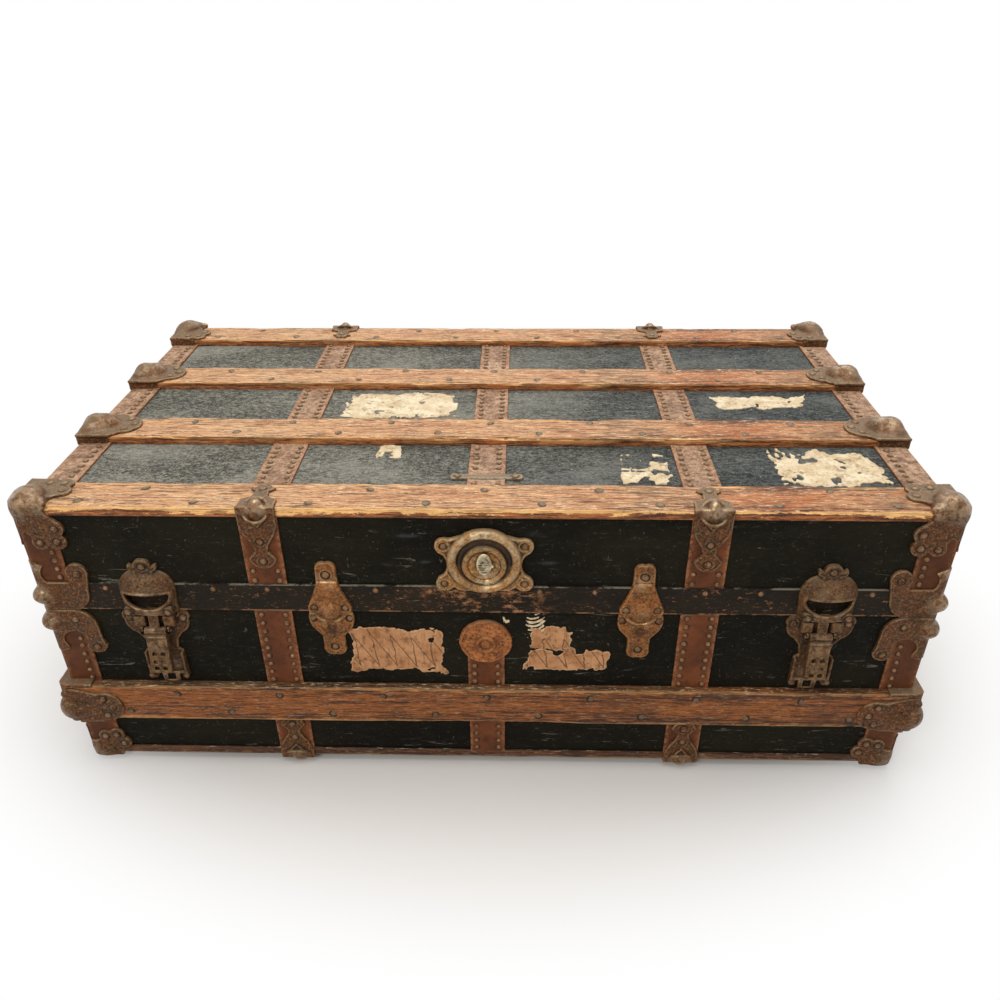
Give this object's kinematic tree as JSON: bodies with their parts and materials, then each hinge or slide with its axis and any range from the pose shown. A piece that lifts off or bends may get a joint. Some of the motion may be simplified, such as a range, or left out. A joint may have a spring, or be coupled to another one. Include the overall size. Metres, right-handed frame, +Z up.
{
  "type": "steamer trunk",
  "caption": "Flat-topped canvas-covered trunk with hinged lid, wooden slats, fibre bindings, cast corner hardware, two drawbolts, lock, end handles and lift-out tray",
  "frame": {"origin": "on the floor under the middle of the trunk", "axes": "+X to the right along the longest side, -Y towards the front with the lock, +Z up"},
  "size_m": [0.963, 0.5358, 0.36],
  "materials": {
    "wood_board": "plain pine board",
    "wood_slat": "worn oiled hardwood, orange brown with dark grain",
    "bottom_slat": "worn dark hardwood",
    "canvas": "black painted canvas, scuffed",
    "lining": "aged paper lining",
    "fibre": "reddish brown vulcanised fibre",
    "valance_steel": "black paint, chipped to rust",
    "cast_hardware": "dark bronze, polished on high spots",
    "lock_metal": "dull aged brass",
    "rust_plate": "rusted",
    "guide_metal": "brown aged brass",
    "lip_steel": "dull tinned steel",
    "nail_steel": "dull steel heads",
    "pin_steel": "plain steel",
    "handle_leather": "dark worn harness leather",
    "tape_leather": "tan leather",
    "tray_wood": "thin pale board"
  },
  "bodies": {
    "box": {"box_bottom_board": "wood_board", "box_front_board": "wood_board", "box_back_board": "wood_board", "box_left_board": "wood_board", "box_right_board": "wood_board", "box_canvas": "canvas", "box_lining": "lining", "box_rim_lip": "lip_steel", "box_bands": "fibre", "box_bindings": "fibre", "box_face_slats": "wood_slat", "box_end_slats": "wood_slat", "bottom_slats": "bottom_slat", "bottom_corners": "cast_hardware", "box_rim_clamps": "cast_hardware", "box_slat_clamps": "cast_hardware", "bottom_band_clamps": "cast_hardware", "bottom_slat_clamps": "cast_hardware", "drawbolt_bases": "cast_hardware", "drawbolt_pins": "pin_steel", "guide_sockets": "guide_metal", "lock_plate": "rust_plate", "box_hinge_leaves": "cast_hardware", "hinge_pins": "pin_steel", "handle_loops": "cast_hardware", "tray_runners": "wood_board", "box_rivets": "cast_hardware", "box_nails": "nail_steel", "box_slat_nails": "nail_steel"},
    "lid": {"lid_top_board": "wood_board", "lid_front_board": "wood_board", "lid_back_board": "wood_board", "lid_left_board": "wood_board", "lid_right_board": "wood_board", "lid_canvas": "canvas", "lid_lining": "lining", "lid_valance": "valance_steel", "lid_bands": "fibre", "lid_bindings": "fibre", "lid_slats": "wood_slat", "lid_corners": "cast_hardware", "lid_rim_clamps": "cast_hardware", "lid_slat_clamps": "cast_hardware", "lid_band_clamps": "cast_hardware", "drawbolt_hoods": "cast_hardware", "guide_noses": "guide_metal", "lock_case": "lock_metal", "lid_strip": "cast_hardware", "lid_hinge_leaves": "cast_hardware", "lid_rivets": "cast_hardware", "lid_nails": "nail_steel", "lid_slat_nails": "nail_steel"},
    "tray": {"tray_walls": "tray_wood", "tray_floor": "tray_wood", "tray_tapes": "tape_leather"},
    "left_lever": {"left_lever": "cast_hardware"},
    "right_lever": {"right_lever": "cast_hardware"},
    "left_handle": {"left_handle": "handle_leather"},
    "right_handle": {"right_handle": "handle_leather"},
    "keyhole_cover": {"keyhole_cover": "lock_metal"}
  },
  "joints": [
    {"name": "lid_hinge", "type": "hinge", "parent": "box", "child": "lid", "pos_m": [0, 0.255, 0.22], "axis": [-1, 0, 0], "range_deg": [0, 100]},
    {"name": "tray_lift", "type": "slide", "parent": "box", "child": "tray", "axis": [0, 0, 1], "range_m": [0, 0.09]},
    {"name": "left_drawbolt", "type": "hinge", "parent": "box", "child": "left_lever", "pos_m": [-0.343, -0.2555, 0.198], "axis": [-1, 0, 0], "range_deg": [-8, 5]},
    {"name": "right_drawbolt", "type": "hinge", "parent": "box", "child": "right_lever", "pos_m": [0.343, -0.2555, 0.198], "axis": [-1, 0, 0], "range_deg": [-8, 5]},
    {"name": "left_handle_swing", "type": "hinge", "parent": "box", "child": "left_handle", "pos_m": [-0.47, 0, 0.165], "axis": [0, 1, 0], "range_deg": [0, 165]},
    {"name": "right_handle_swing", "type": "hinge", "parent": "box", "child": "right_handle", "pos_m": [0.47, 0, 0.165], "axis": [0, -1, 0], "range_deg": [0, 165]},
    {"name": "keyhole_cover_swing", "type": "hinge", "parent": "lid", "child": "keyhole_cover", "pos_m": [0, -0.2558, 0.295], "axis": [0, 1, 0], "range_deg": [-75, 75]}
  ]
}
